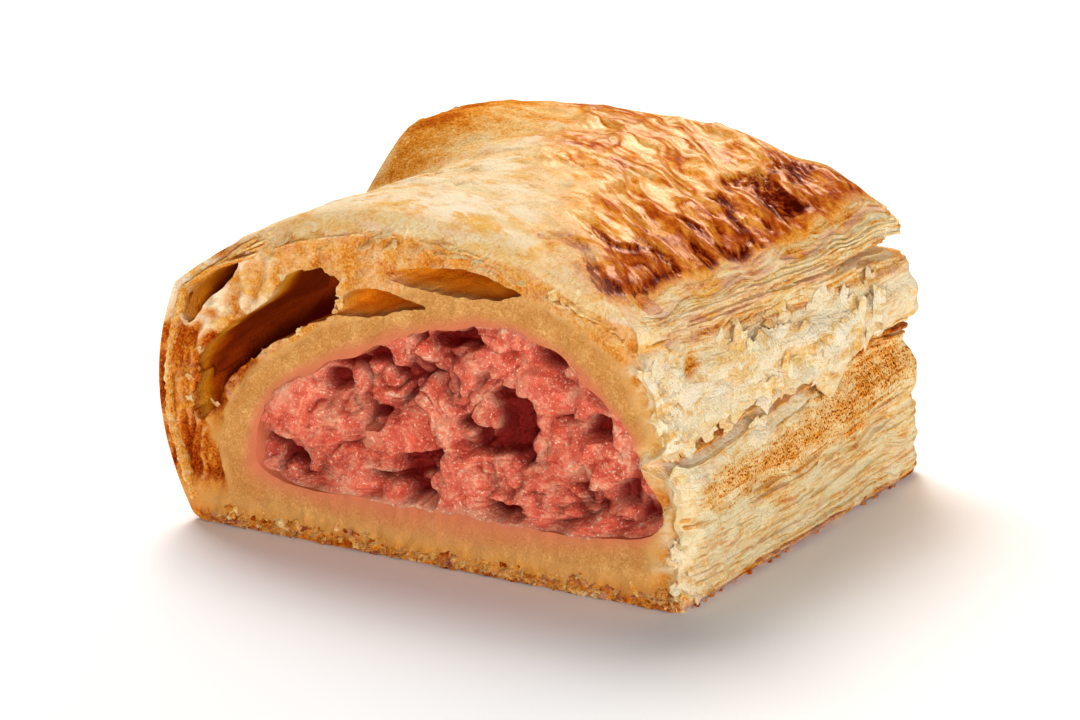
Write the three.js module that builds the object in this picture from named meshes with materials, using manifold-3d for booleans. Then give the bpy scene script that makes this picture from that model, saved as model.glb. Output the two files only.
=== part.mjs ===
// Cut piece of a ham puff pastry: a flaky folded crust around a coarse ham filling.
// Millimetres, +Z up. The cut face looks along -Y and the fold of the sheet is on -X. The sealed,
// layered edges are on +X and +Y, under a lid that gapes. The origin is at the middle of the base.
import * as THREE from "three";
import { ParametricGeometry } from "three/addons/geometries/ParametricGeometry.js";
import { mergeVertices } from "three/addons/utils/BufferGeometryUtils.js";
import { ImprovedNoise } from "three/addons/math/ImprovedNoise.js";
import Module from "manifold-3d";

// Base outline
const CUT_Y = -29.7;
const END_Y = 29.7;
const FOLD_X = { cut: -30.75, end: -28 };
const SEAM_X = 35.65;
const SEAM_CORNER = 2.5;
const FOLD_CORNER = 8;
const FOOT_BEVEL = 0.9;

// Top surface: a crown that falls away to both sides, with a hollow and a hump on the fold side,
// and slanted wrinkles in the glazed skin on the seam side
const CROWN_Z = { cut: 41.4, end: 40.4 };
const CROWN_X = { cut: -2.75, end: 2 };
const FOLD_FALL = { cut: 0.0135, end: 0.0036 };
const SEAM_FALL = { cut: 0.0085, end: 0.0066 };
const FOLD_RISE = { from: 0.5, to: 0.8 };
const HUMPS = [
  { x: -22, y: 2, radius: 9, height: -2 },
  { x: -20, y: 18, radius: 9, height: 1.4 },
];
const WRINKLE = { height: 0.45, length: 11, slant: 0.8, from: 0, to: 18 };
const CUT_LIP = { height: 4, setBack: 1.6 };

// Fold side: how far the wall bulges past the base, and at which share of its height
const FOLD_BULGE = { cut: 4.9, end: 0 };
const BULGE_SHARE = 0.58;

// Sealed sides, as [share of their length, value] stops: 0 is the cut, 0.5 the far corner, 1 the fold
const LEAN = [[0, 5.8], [0.42, 2.6], [0.6, 1.2], [1, 1]];
const LID_INSET = [[0, 2.8], [0.25, 1.8], [0.5, 3.6], [0.7, 1.4], [1, 2]];
const LID_FOOT_Z = [[0, 31.5], [0.5, 29.2], [1, 29]];
const GAP_DEPTH = [[0.12, 0], [0.3, 1.6], [0.5, 6], [0.75, 4], [0.96, 0]];
const FOLD_BLEND = { from: 0.72, to: 1 };
const CORNER_TURN = { from: 0.33, to: 0.67 };
const LEAN_FROM_Z = 8;
const LEAN_TO_Z = 28;
const GAP_SLOPE = 0.26;
const GAP_OUTSIDE = 9;
const GAP_STEPS = 36;

// Grooves between the stacks of layers on the sealed sides
const GROOVES = [
  { z: 27.6, drop: 5, depth: 0.7, halfHeight: 1.2 },
  { z: 22.4, drop: 2, depth: 0.4, halfHeight: 1.2 },
  { z: 17.1, drop: 0.5, depth: 1.1, halfHeight: 1.5 },
  { z: 10, drop: 0.5, depth: 0.8, halfHeight: 1.2 },
  { z: 6.6, drop: 0.3, depth: 0.5, halfHeight: 1 },
  { z: 3.4, drop: 0, depth: 0.5, halfHeight: 1 },
];
const GROOVE_WAVE = { height: 0.6, turns: 14 };

// Columns of facets on each side, on the way round, and rows from the base to the top
const COLUMNS = { cut: 18, seam: 22, seamCorner: 5, end: 18, foldCorner: 6, fold: 14 };
const SEALED_SHARE = { seamCorner: 0.45, end: 0.55, foldCorner: 0.9, fold: 1 };
const ROWS = { base: 1, wall: 32, top: 8 };

// Ham filling: the outline of its section, how far it runs in, and the crags of its cut face
const HAM_OUTLINE = [
  [-22.4, 9.6], [-18.5, 18.2], [-5.5, 25.1], [10, 30], [20.5, 26.6], [29.6, 17.6], [30.2, 8.2], [2, 6.9], [-17, 6.6],
];
const HAM_CENTRE = new THREE.Vector2(4, 15.5);
const HAM_END_Y = 21;
const HAM_END_SCALE = 0.78;
const HAM_GAP = 0.3;
const HAM_CRAG = { setBack: 0.3, depth: 3.2, size: 7, fineness: 1.7, level: 0.45, gain: 0.9 };
const HAM_COLUMNS = 52;
const HAM_ROWS = { face: 14, side: 4, end: 1 };

// Air pockets between the sheets, open at the cut: a bent lens from one point to another
const POCKETS = [
  { from: [-30.6, 13.4], via: [-29.1, 22.6], to: [-10.2, 32.6], halfWidth: 2.5, growth: 0.5, depth: 38 },
  { from: [-10.4, 27.9], via: [-6.5, 31.6], to: [0.6, 31.3], halfWidth: 1.6, growth: 0, depth: 24 },
  { from: [-4.2, 34.4], via: [5.8, 35.3], to: [15.6, 33.6], halfWidth: 1.5, growth: 0, depth: 30 },
  { from: [-33.4, 22.6], via: [-30.8, 28.9], to: [-23.8, 32.6], halfWidth: 1, growth: 0, depth: 26 },
];
const POCKET_COLUMNS = 24;
const POCKET_ROWS = 7;

// How far a cutting body reaches out in front of the cut face, and how close points are one point
const CUTTER_LEAD = 1;
const MERGE_DISTANCE = 1e-3;

const { lerp, smoothstep, clamp } = THREE.MathUtils;
const sum = (numbers) => numbers.reduce((total, n) => total + n, 0);
const between = (range, share) => lerp(range.cut, range.end, share);
const shareOfLength = (y) => (y - CUT_Y) / (END_Y - CUT_Y);

// The value that [share, value] stops give at a share, eased from stop to stop.
function eased(stops, share) {
  const next = clamp(stops.findIndex(([stop]) => stop >= share), 1, stops.length - 1);
  const [fromShare, from] = stops[next - 1];
  const [toShare, to] = stops[next];
  return lerp(from, to, smoothstep(share, fromShare, toShare));
}

// Height of the top surface over a point of the base.
function topHeight(x, y) {
  const share = shareOfLength(y);
  const offCrown = x - between(CROWN_X, share);
  const foldFall = between(FOLD_FALL, smoothstep(share, FOLD_RISE.from, FOLD_RISE.to));
  const fall = offCrown < 0 ? foldFall : between(SEAM_FALL, share);
  const humps = HUMPS.map((hump) => {
    const away = Math.hypot(x - hump.x, y - hump.y) / hump.radius;
    return hump.height * Math.exp(-away * away);
  });
  const waves = Math.sin((2 * Math.PI * (x * WRINKLE.slant + y)) / WRINKLE.length);
  const wrinkle = WRINKLE.height * waves * smoothstep(x, WRINKLE.from, WRINKLE.to);
  return between(CROWN_Z, share) - fall * offCrown * offCrown + sum(humps) + wrinkle;
}

// A place on the base outline: its point, its share of the sealed sides, and the way that its wall
// leans out, which turns slower than the outline does at the far corner of the seam.
function place(x, y, sealed, foldTurn = 0) {
  const seamTurn = clamp((sealed - CORNER_TURN.from) / (CORNER_TURN.to - CORNER_TURN.from), 0, 1);
  const angle = (Math.PI / 2) * (seamTurn + foldTurn);
  return { x, y, outX: Math.cos(angle), outY: Math.sin(angle), sealed };
}

const FOLD_AT_CUT = place(FOLD_X.cut, CUT_Y, 1, 1);
const SEAM_AT_CUT = place(SEAM_X, CUT_Y, 0);

// The place a share u of the way round, counter-clockwise from the fold side of the cut.
function baseOutline(u) {
  const sides = Object.keys(COLUMNS);
  let column = u * sum(Object.values(COLUMNS));
  let side = 0;
  while (side < sides.length - 1 && column > COLUMNS[sides[side]]) {
    column -= COLUMNS[sides[side]];
    side += 1;
  }
  const share = column / COLUMNS[sides[side]];
  const seam = { x: SEAM_X - SEAM_CORNER, y: END_Y - SEAM_CORNER };
  const fold = { x: FOLD_X.end + FOLD_CORNER, y: END_Y - FOLD_CORNER };
  const cos = Math.cos((Math.PI / 2) * share);
  const sin = Math.sin((Math.PI / 2) * share);
  const stops = SEALED_SHARE;
  switch (sides[side]) {
    case "cut":
      return { cutShare: share };
    case "seam":
      return place(SEAM_X, lerp(CUT_Y, seam.y, share), lerp(0, stops.seamCorner, share));
    case "seamCorner":
      return place(seam.x + SEAM_CORNER * cos, seam.y + SEAM_CORNER * sin, lerp(stops.seamCorner, stops.end, share));
    case "end":
      return place(lerp(seam.x, fold.x, share), END_Y, lerp(stops.end, stops.foldCorner, share));
    case "foldCorner":
      return place(
        fold.x - FOLD_CORNER * sin, fold.y + FOLD_CORNER * cos, lerp(stops.foldCorner, stops.fold, share), share);
    default:
      return place(lerp(FOLD_X.end, FOLD_X.cut, share), lerp(fold.y, CUT_Y, share), stops.fold, 1);
  }
}

// The share u of the way round at which the sealed sides reach a share of their length.
function outlineShare(sealed) {
  let column = COLUMNS.cut;
  let from = 0;
  for (const side of ["seam", "seamCorner", "end", "foldCorner"]) {
    const next = Object.keys(COLUMNS)[Object.keys(COLUMNS).indexOf(side) + 1];
    const to = SEALED_SHARE[next];
    if (sealed <= to) {
      column += (COLUMNS[side] * (sealed - from)) / (to - from);
      break;
    }
    column += COLUMNS[side];
    from = to;
  }
  return column / sum(Object.values(COLUMNS));
}

// How far the wall lies outside the base outline at a height, under an upper edge at edgeZ.
function wallOutset(at, z, edgeZ) {
  const wave = GROOVE_WAVE.height * Math.sin(GROOVE_WAVE.turns * at.sealed);
  const grooves = GROOVES.map((groove) => {
    const away = (z - groove.z + groove.drop * at.sealed - wave) / groove.halfHeight;
    return groove.depth * Math.exp(-away * away);
  });
  const lean = eased(LEAN, at.sealed) * smoothstep(z, LEAN_FROM_Z, LEAN_TO_Z);
  const lidFoot = eased(LID_FOOT_Z, at.sealed);
  const inLid = Math.max(0, (z - lidFoot) / (edgeZ - lidFoot));
  const sealedWall = -lean - sum(grooves) - eased(LID_INSET, at.sealed) * inLid * inLid;
  const offBulge = (z / edgeZ - BULGE_SHARE) / BULGE_SHARE;
  const foldWall = between(FOLD_BULGE, shareOfLength(at.y)) * (1 - offBulge * offBulge);
  const bevel = FOOT_BEVEL * Math.max(0, 1 - z / FOOT_BEVEL) ** 2;
  return lerp(sealedWall, foldWall, smoothstep(at.sealed, FOLD_BLEND.from, FOLD_BLEND.to)) - bevel;
}

function outside(at, outset, z) {
  return new THREE.Vector3(at.x + at.outX * outset, at.y + at.outY * outset, z);
}

// The point of the wall at a share of its height. The cut face spans the walls at its two sides,
// and its upper lip rolls back.
function wallPoint(at, rise) {
  if (at.cutShare === undefined) {
    const guess = outside(at, wallOutset(at, CROWN_Z.end, CROWN_Z.end), 0);
    const edgeZ = topHeight(guess.x, guess.y);
    return outside(at, wallOutset(at, rise * edgeZ, edgeZ), rise * edgeZ);
  }
  const x = lerp(wallPoint(FOLD_AT_CUT, rise).x, wallPoint(SEAM_AT_CUT, rise).x, at.cutShare);
  const edgeX = lerp(wallPoint(FOLD_AT_CUT, 1).x, wallPoint(SEAM_AT_CUT, 1).x, at.cutShare);
  const edgeZ = topHeight(edgeX, CUT_Y);
  const inLip = clamp(1 - (edgeZ * (1 - rise)) / CUT_LIP.height, 0, 1);
  const inside = 1 - (2 * at.cutShare - 1) ** 2;
  return new THREE.Vector3(x, CUT_Y + CUT_LIP.setBack * inLip * inLip * inside, rise * edgeZ);
}

// The crust with no hollows: v runs from the middle of the base, up the walls, to the middle of the top.
function crustSurface(u, v, target) {
  const at = baseOutline(u);
  const row = v * sum(Object.values(ROWS));
  const inBase = clamp(row / ROWS.base, 0, 1);
  const rise = clamp((row - ROWS.base) / ROWS.wall, 0, 1);
  const inTop = clamp((row - ROWS.base - ROWS.wall) / ROWS.top, 0, 1);
  target.copy(wallPoint(at, rise));
  if (inBase < 1) {
    target.multiplyScalar(inBase);
  } else if (inTop > 0) {
    target.multiplyScalar(1 - inTop);
    target.z = topHeight(target.x, target.y);
  }
}

// The wedge of air under the lid, along the sealed sides: v goes round the three corners of its section.
function gapSurface(u, v, target) {
  const sealed = lerp(GAP_DEPTH[0][0], GAP_DEPTH.at(-1)[0], u);
  const depth = eased(GAP_DEPTH, sealed);
  const wall = outside(baseOutline(outlineShare(sealed)), -eased(LEAN, sealed), 0);
  const reach = Math.hypot(wall.x, wall.y);
  const inner = (reach - depth) / reach;
  const outer = (reach + GAP_OUTSIDE) / reach;
  const lift = depth > 0 ? GAP_SLOPE * (depth + GAP_OUTSIDE) * Math.min(1, depth) : 0;
  const corner = Math.round(v * 3) % 3;
  const z = eased(LID_FOOT_Z, sealed) + [0, -lift, lift][corner];
  target.copy(wall).multiplyScalar(corner === 0 ? inner : outer);
  target.z = z;
}

// Depth of the crags in the cut face of the filling.
const noise = new ImprovedNoise();

function hamCrag(x, z) {
  const { size, fineness, depth, level, gain } = HAM_CRAG;
  const coarse = noise.noise(x / size, z / size, 0.5);
  const fine = noise.noise((fineness * x) / size, (fineness * z) / size, 1.5);
  const chunks = coarse + 0.5 * fine;
  return depth * clamp(level - gain * chunks, 0, 1);
}

// The filling, or the hollow it lies in: v runs from the middle of the face, along it, to the end.
const hamCurve = new THREE.CatmullRomCurve3(HAM_OUTLINE.map(([x, z]) => new THREE.Vector3(x, 0, z)), true);

function hamSurface(rows, margin, faceY) {
  return (u, v, target) => {
    const rim = hamCurve.getPoint(u);
    const out = new THREE.Vector2(rim.x, rim.z).sub(HAM_CENTRE);
    out.setLength(out.length() + margin);
    const row = v * sum(Object.values(rows));
    const inFace = clamp(row / rows.face, 0, 1);
    const along = clamp((row - rows.face) / rows.side, 0, 1);
    const inEnd = clamp((row - rows.face - rows.side) / rows.end, 0, 1);
    out.multiplyScalar(inFace);
    const y = lerp(faceY(HAM_CENTRE.x + out.x, HAM_CENTRE.y + out.y), HAM_END_Y + margin, along);
    const run = Math.max(0, (y - CUT_Y) / (HAM_END_Y - CUT_Y));
    out.multiplyScalar(lerp(1, HAM_END_SCALE, run) * (1 - inEnd)).add(HAM_CENTRE);
    target.set(out.x, y, out.y);
  };
}

// A pocket: a lens bent along a curve in the cut plane, which closes as it runs in.
function pocketSurface({ from, via, to, halfWidth, growth, depth }) {
  const ends = [from, via, to].map(([x, z]) => new THREE.Vector2(x, z));
  const path = new THREE.QuadraticBezierCurve(...ends);
  const middle = path.getPoint(0.5);
  return (u, v, target) => {
    const turn = 2 * Math.PI * u;
    const along = 0.5 - 0.5 * Math.cos(turn);
    const tangent = path.getTangent(along);
    const width = halfWidth * Math.sin(turn) * (1 + growth * (along - 0.5));
    const point = path.getPoint(along).add(new THREE.Vector2(-tangent.y, tangent.x).multiplyScalar(width));
    const row = v * POCKET_ROWS;
    const run = clamp((row - 1) / (POCKET_ROWS - 1), 0, 1);
    point.sub(middle).multiplyScalar(Math.min(row, Math.sqrt(1 - run * run))).add(middle);
    target.set(point.x, CUT_Y + lerp(-CUTTER_LEAD, depth, run), point.y);
  };
}

// Solids, joins and cuts
const wasm = await Module();
wasm.setup();

function solid(surface, columns, rows) {
  const open = new ParametricGeometry(surface, columns, rows);
  open.deleteAttribute("normal");
  open.deleteAttribute("uv");
  const geometry = mergeVertices(open, MERGE_DISTANCE);
  const corners = Array.from(geometry.index.array);
  const triangles = [];
  for (let i = 0; i < corners.length; i += 3) {
    const triangle = corners.slice(i, i + 3);
    if (new Set(triangle).size === 3) triangles.push(...triangle);
  }
  const vertProperties = geometry.attributes.position.array;
  return new wasm.Manifold(new wasm.Mesh({ numProp: 3, vertProperties, triVerts: new Uint32Array(triangles) }));
}

function meshOf(name, made, material) {
  const { vertProperties, triVerts } = made.getMesh();
  const geometry = new THREE.BufferGeometry();
  geometry.setAttribute("position", new THREE.BufferAttribute(vertProperties, 3));
  geometry.setIndex(new THREE.BufferAttribute(triVerts, 1));
  geometry.computeVertexNormals();
  const mesh = new THREE.Mesh(geometry, material);
  mesh.name = name;
  return mesh;
}

function pastryCrust() {
  const hollowRows = { ...HAM_ROWS, face: 1 };
  const hollow = hamSurface(hollowRows, HAM_GAP, () => CUT_Y - CUTTER_LEAD);
  let crust = solid(crustSurface, sum(Object.values(COLUMNS)), sum(Object.values(ROWS)));
  crust = crust.subtract(solid(gapSurface, GAP_STEPS, 3));
  crust = crust.subtract(solid(hollow, HAM_COLUMNS, sum(Object.values(hollowRows))));
  for (const pocket of POCKETS) {
    crust = crust.subtract(solid(pocketSurface(pocket), POCKET_COLUMNS, POCKET_ROWS));
  }
  return crust;
}

function hamFilling() {
  const face = (x, z) => CUT_Y + HAM_CRAG.setBack + hamCrag(x, z);
  return solid(hamSurface(HAM_ROWS, 0, face), HAM_COLUMNS, sum(Object.values(HAM_ROWS)));
}

const pastryMaterial = new THREE.MeshStandardMaterial({ color: 0xd8a25a, roughness: 0.65, metalness: 0 });
const hamMaterial = new THREE.MeshStandardMaterial({ color: 0xcf6660, roughness: 0.45, metalness: 0 });

const piece = new THREE.Group();
piece.name = "ham_puff_pastry_piece";
piece.add(meshOf("pastry_crust", pastryCrust(), pastryMaterial));
piece.add(meshOf("ham_filling", hamFilling(), hamMaterial));

export default piece;
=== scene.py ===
# Cut ham puff pastry. The flaky crust, the ham and the loose flakes and crumbs are modelled here in
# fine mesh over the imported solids. Lengths are in millimetres until a mesh is made.
import math
from types import SimpleNamespace

import bmesh
import bpy
import numpy as np
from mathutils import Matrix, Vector
from mathutils.kdtree import KDTree


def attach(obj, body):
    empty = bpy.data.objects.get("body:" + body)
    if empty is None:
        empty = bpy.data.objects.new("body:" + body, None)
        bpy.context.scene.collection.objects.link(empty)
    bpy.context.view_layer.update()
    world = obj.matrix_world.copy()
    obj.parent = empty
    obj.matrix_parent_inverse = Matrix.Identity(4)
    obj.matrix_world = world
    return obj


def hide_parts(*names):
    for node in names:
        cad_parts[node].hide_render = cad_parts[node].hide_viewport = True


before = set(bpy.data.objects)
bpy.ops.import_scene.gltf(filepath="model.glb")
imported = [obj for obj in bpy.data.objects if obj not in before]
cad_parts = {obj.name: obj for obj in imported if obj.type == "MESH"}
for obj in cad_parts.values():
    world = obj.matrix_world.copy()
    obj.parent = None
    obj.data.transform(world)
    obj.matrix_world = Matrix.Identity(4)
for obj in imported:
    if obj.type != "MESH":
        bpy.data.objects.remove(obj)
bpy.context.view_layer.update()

MM = 0.001
QUARTER_TURN, FULL_TURN = math.pi / 2, 2 * math.pi

# Form of the crust, as in the solids
CUT_Y, END_Y = -29.7, 29.7
FOLD_X_CUT, FOLD_X_END = -30.75, -28.0
SEAM_X = 35.65
SEAM_CORNER, FOLD_CORNER = 2.5, 8.0
FOOT_BEVEL = 0.9
CROWN_Z_CUT, CROWN_Z_END = 41.4, 40.4
CROWN_X_CUT, CROWN_X_END = -2.75, 2.0
FOLD_FALL_CUT, FOLD_FALL_END = 0.0135, 0.0036
SEAM_FALL_CUT, SEAM_FALL_END = 0.0085, 0.0066
FOLD_RISE = (0.5, 0.8)
HUMPS = [(-22, 2, 9, -2.0), (-20, 18, 9, 1.4)]
WRINKLE_HEIGHT, WRINKLE_LENGTH, WRINKLE_SLANT, WRINKLE_DRIFT = 0.45, 11.0, 0.8, 2.5
LIP_HEIGHT, LIP_SET_BACK = 4.0, 1.6
FOLD_BULGE_CUT, BULGE_SHARE = 4.9, 0.58
LEAN = [(0, 5.8), (0.42, 2.6), (0.6, 1.2), (1, 1)]
LID_INSET = [(0, 2.8), (0.25, 1.8), (0.5, 3.6), (0.7, 1.4), (1, 2)]
LID_FOOT_Z = [(0, 31.5), (0.5, 29.2), (1, 29)]
GAP_DEPTH = [(0.12, 0), (0.3, 1.6), (0.5, 6), (0.75, 4), (0.96, 0)]
GAP_SLOPE = 0.26
LEAN_Z = (8, 28)
FOLD_BLEND = (0.72, 1.0)
CORNER_TURN = (0.33, 0.67)
GROOVES = [
    (27.6, 5, 0.7, 1.2), (22.4, 2, 0.4, 1.2), (17.1, 0.5, 1.1, 1.5),
    (10, 0.5, 0.8, 1.2), (6.6, 0.3, 0.5, 1), (3.4, 0, 0.5, 1),
]
GROOVE_WAVE, GROOVE_TURNS = 0.6, 14
# How far along the sealed walls each side starts and stops, from the cut to the fold
SEALED_STOPS = {
    "seam": (0, 0.45), "seam_corner": (0.45, 0.55), "end": (0.55, 0.9),
    "fold_corner": (0.9, 1), "fold": (1, 1),
}

# Form of the filling, as in the solids
HAM_OUTLINE = [
    (-22.4, 9.6), (-18.5, 18.2), (-5.5, 25.1), (10, 30), (20.5, 26.6),
    (29.6, 17.6), (30.2, 8.2), (2, 6.9), (-17, 6.6),
]
HAM_CENTRE = (4, 15.5)
HAM_END_Y, HAM_END_SCALE = 21.0, 0.78

# Air pockets, as they open on the cut face: outline, point they close towards, depth, depth where the
# painted shade inside is darkest
POCKETS = [
    ([(-30.3, 13.4), (-31.0, 17.5), (-29.6, 21.2), (-26.0, 24.6), (-20.6, 28.4),
      (-17.9, 32.0), (-13.6, 33.4), (-10.2, 32.8), (-11.4, 28.6), (-14.2, 26.6),
      (-19.0, 23.8), (-23.4, 20.4), (-26.2, 17.6), (-28.4, 13.8)],
     (-21.5, 26.0), 15, 5),
    ([(-11.2, 28.3), (-9.4, 31.0), (-6.3, 32.2), (-2.6, 31.9), (1.2, 31.0), (-2.2, 30.0), (-7.0, 28.6)],
     (-5.5, 31.6), 8, 10),
    ([(-3.8, 34.4), (0, 35.5), (6.2, 36.3), (10.4, 35.6),
      (14.3, 34.2), (8.6, 33.0), (2.4, 33.0), (-1.9, 33.5)],
     (5.0, 35.6), 9, 10),
    ([(-32.7, 24.9), (-31.6, 28.0), (-28.4, 31.0), (-24.6, 32.4),
      (-26.2, 29.6), (-28.9, 27.2), (-31.2, 24.2)],
     (-29.0, 28.6), 14, 9),
]

# Fineness of the meshes
CRUST_COLUMNS = {"cut": 190, "seam": 140, "seam_corner": 12, "end": 70, "fold_corner": 20, "fold": 76}
SHEET_COLUMNS = {"seam": 190, "seam_corner": 14, "end": 150}
WALL_ROWS, TOP_ROWS = 84, 80
HAM_COLUMNS, HAM_FACE_ROWS, HAM_SIDE_ROWS = 320, 110, 29
HOLLOW_COLUMNS, HOLLOW_ROWS, RIM_STEPS = 200, 26, 12
ARCH_COLUMNS = 420
FLAKE_ROWS, FLAKE_STEP = 36, 0.25
PETAL_COLUMNS = 20


# Number helpers

def unit(value):
    return np.clip(value, 0, 1)


def smoothstep(value, low, high):
    share = unit((value - low) / (high - low))
    return share * share * (3 - 2 * share)


def lerp(a, b, share):
    return a + (b - a) * share


def bell(value, middle, half):
    return np.exp(-(((value - middle) / half) ** 2))


def eased(stops, share):
    """The value that (share, value) stops give, eased from stop to stop."""
    share = np.asarray(share, float)
    value = np.full(share.shape, float(stops[0][1]))
    for (low, before), (high, after) in zip(stops, stops[1:]):
        value = np.where(share >= low, lerp(before, after, smoothstep(share, low, high)), value)
    return value


def random_of(cells, seed):
    """A number from 0 to 1 for each row of whole numbers, always the same one."""
    state = np.full(cells.shape[:-1], seed * 747796405 + 2891336453, np.uint64)
    for axis in range(cells.shape[-1]):
        state ^= cells[..., axis].astype(np.int64).astype(np.uint64) * np.uint64(0x9E3779B97F4A7C15)
        state = (state ^ (state >> np.uint64(29))) * np.uint64(0xBF58476D1CE4E5B9)
        state = state ^ (state >> np.uint64(32))
    return (state & np.uint64(0xFFFFFF)).astype(float) / 0xFFFFFF


def stack(*values):
    return np.stack(np.broadcast_arrays(*[np.asarray(v, float) for v in values]), -1)


def noise(points, seed=0):
    """Smooth noise from -1 to 1, with about one bump to a unit."""
    cells = np.floor(points)
    inside = points - cells
    inside = inside**3 * (inside * (inside * 6 - 15) + 10)
    total = np.zeros(points.shape[:-1])
    for corner in np.ndindex(*(2,) * points.shape[-1]):
        weight = np.prod(np.where(np.array(corner) == 1, inside, 1 - inside), -1)
        total += weight * random_of(cells + np.array(corner), seed)
    return 2 * total - 1


def fractal(points, octaves=3, seed=0):
    total = np.zeros(points.shape[:-1])
    for octave in range(octaves):
        total += noise(points * 2**octave, seed + octave) / 2**octave
    return total / (2 - 2 ** (1 - octaves))


def patchy(x, y, wide, high, octaves, seed):
    """Fractal noise with patches of a width and a height."""
    return fractal(stack(x / wide, y / high), octaves, seed)


def chunks(points, seed):
    """Offset from the nearest of scattered points, how much further the next one is, and its three tags."""
    home = np.floor(points)
    first = np.full(points.shape[:-1], 9.0)
    second = first.copy()
    offset = np.zeros(points.shape)
    tags = np.zeros((*points.shape[:-1], 3))
    for step in np.ndindex(3, 3):
        cells = home + np.array(step) - 1
        away = points - cells - stack(random_of(cells, seed), random_of(cells, seed + 1))
        far = np.linalg.norm(away, axis=-1)
        nearer = far < first
        second = np.where(nearer, first, np.minimum(second, far))
        offset = np.where(nearer[..., None], away, offset)
        own = stack(*[random_of(cells, seed + k) for k in (2, 3, 4)])
        tags = np.where(nearer[..., None], own, tags)
        first = np.where(nearer, far, first)
    return offset, second - first, tags


def closed_spline(points, steps):
    """A smooth closed curve through points."""
    points = np.array(points, float)
    t = np.linspace(0, 1, steps, endpoint=False)[:, None]
    dense = []
    for i in range(len(points)):
        p0, p1, p2, p3 = (points[(i + k - 1) % len(points)] for k in range(4))
        bend = (2 * p0 - 5 * p1 + 4 * p2 - p3) * t**2 + (3 * p1 - p0 - 3 * p2 + p3) * t**3
        dense.append(p1 + 0.5 * ((p2 - p0) * t + bend))
    return np.concatenate(dense)


# Mesh helpers

def tube_faces(rows, columns):
    """Quads of a grid that closes on itself along its columns."""
    index = np.arange(rows * columns).reshape(rows, columns)
    across = np.roll(index, -1, 1)
    return stack(index[:-1], across[:-1], across[1:], index[1:]).astype(int).reshape(-1, 4)


def closed_tube(points):
    """Points and faces of a tube given as rows of points, with a fan at both ends."""
    rows, columns = points.shape[:2]
    flat = points.reshape(-1, 3)
    start, stop = len(flat), len(flat) + 1
    verts = np.vstack([flat, points[0].mean(0), points[-1].mean(0)])
    ring = np.arange(columns)
    after = np.roll(ring, -1)
    last = (rows - 1) * columns
    faces = tube_faces(rows, columns).tolist()
    faces += stack(after, ring, np.full(columns, start)).astype(int).tolist()
    faces += stack(last + ring, last + after, np.full(columns, stop)).astype(int).tolist()
    return verts, faces


def with_ends(values):
    """Values of a tube's points, row by row, and of its two end points."""
    return np.concatenate([values.ravel(), [values[0].mean(), values[-1].mean()]])


def there_and_back(over, under):
    """Rows of a thin sheet's one side, then those of its other side in reverse."""
    return np.concatenate([over, under[::-1]])


class Pile:
    """Many closed meshes joined into one."""

    def __init__(self):
        self.verts, self.faces, self.masks, self.count = [], [], {}, 0

    def add(self, verts, faces, **masks):
        self.faces += [[v + self.count for v in face] for face in faces]
        self.verts.append(verts)
        self.count += len(verts)
        for name, values in masks.items():
            self.masks.setdefault(name, []).append(np.broadcast_to(values, len(verts)))

    def add_tube(self, points, **masks):
        flat = {name: with_ends(np.broadcast_to(values, points.shape[:2])) for name, values in masks.items()}
        self.add(*closed_tube(points), **flat)

    def build(self, name):
        obj = new_object(name, np.vstack(self.verts), self.faces)
        for mask, values in self.masks.items():
            set_attribute(obj, mask, np.concatenate(values))
        return obj


def new_object(name, verts, faces):
    mesh = bpy.data.meshes.new(name)
    mesh.from_pydata((np.asarray(verts) * MM).tolist(), [], faces)
    obj = bpy.data.objects.new(name, mesh)
    bpy.context.scene.collection.objects.link(obj)
    return obj


def set_attribute(obj, name, values):
    attribute = obj.data.attributes.new(name, "FLOAT", "POINT")
    attribute.data.foreach_set("value", np.asarray(values, np.float32))


def positions(obj):
    flat = np.zeros(len(obj.data.vertices) * 3, np.float32)
    obj.data.vertices.foreach_get("co", flat)
    return flat.reshape(-1, 3).astype(float) / MM


SHARP_ANGLE = math.radians(50)


def dress(obj, material, slot, *nodes):
    obj.data.materials.clear()
    obj.data.materials.append(material)
    obj.data.shade_smooth()
    obj.data.set_sharp_from_angle(angle=SHARP_ANGLE)
    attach(obj, "root")
    if nodes:
        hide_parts(*nodes)


# Form functions

def share_of_length(y):
    return (y - CUT_Y) / (END_Y - CUT_Y)


def top_height(x, y):
    share = share_of_length(y)
    off_crown = x - lerp(CROWN_X_CUT, CROWN_X_END, share)
    fold_fall = lerp(FOLD_FALL_CUT, FOLD_FALL_END, smoothstep(share, *FOLD_RISE))
    fall = np.where(off_crown < 0, fold_fall, lerp(SEAM_FALL_CUT, SEAM_FALL_END, share))
    height = lerp(CROWN_Z_CUT, CROWN_Z_END, share) - fall * off_crown**2
    for hump_x, hump_y, radius, rise in HUMPS:
        height = height + rise * np.exp(-((x - hump_x) ** 2 + (y - hump_y) ** 2) / radius**2)
    drift = WRINKLE_DRIFT * noise(stack(x / 9, y / 9), 65)
    waves = np.sin(FULL_TURN * (x * WRINKLE_SLANT + y + drift) / WRINKLE_LENGTH)
    return height + WRINKLE_HEIGHT * waves * smoothstep(x, 0, 18)


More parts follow.
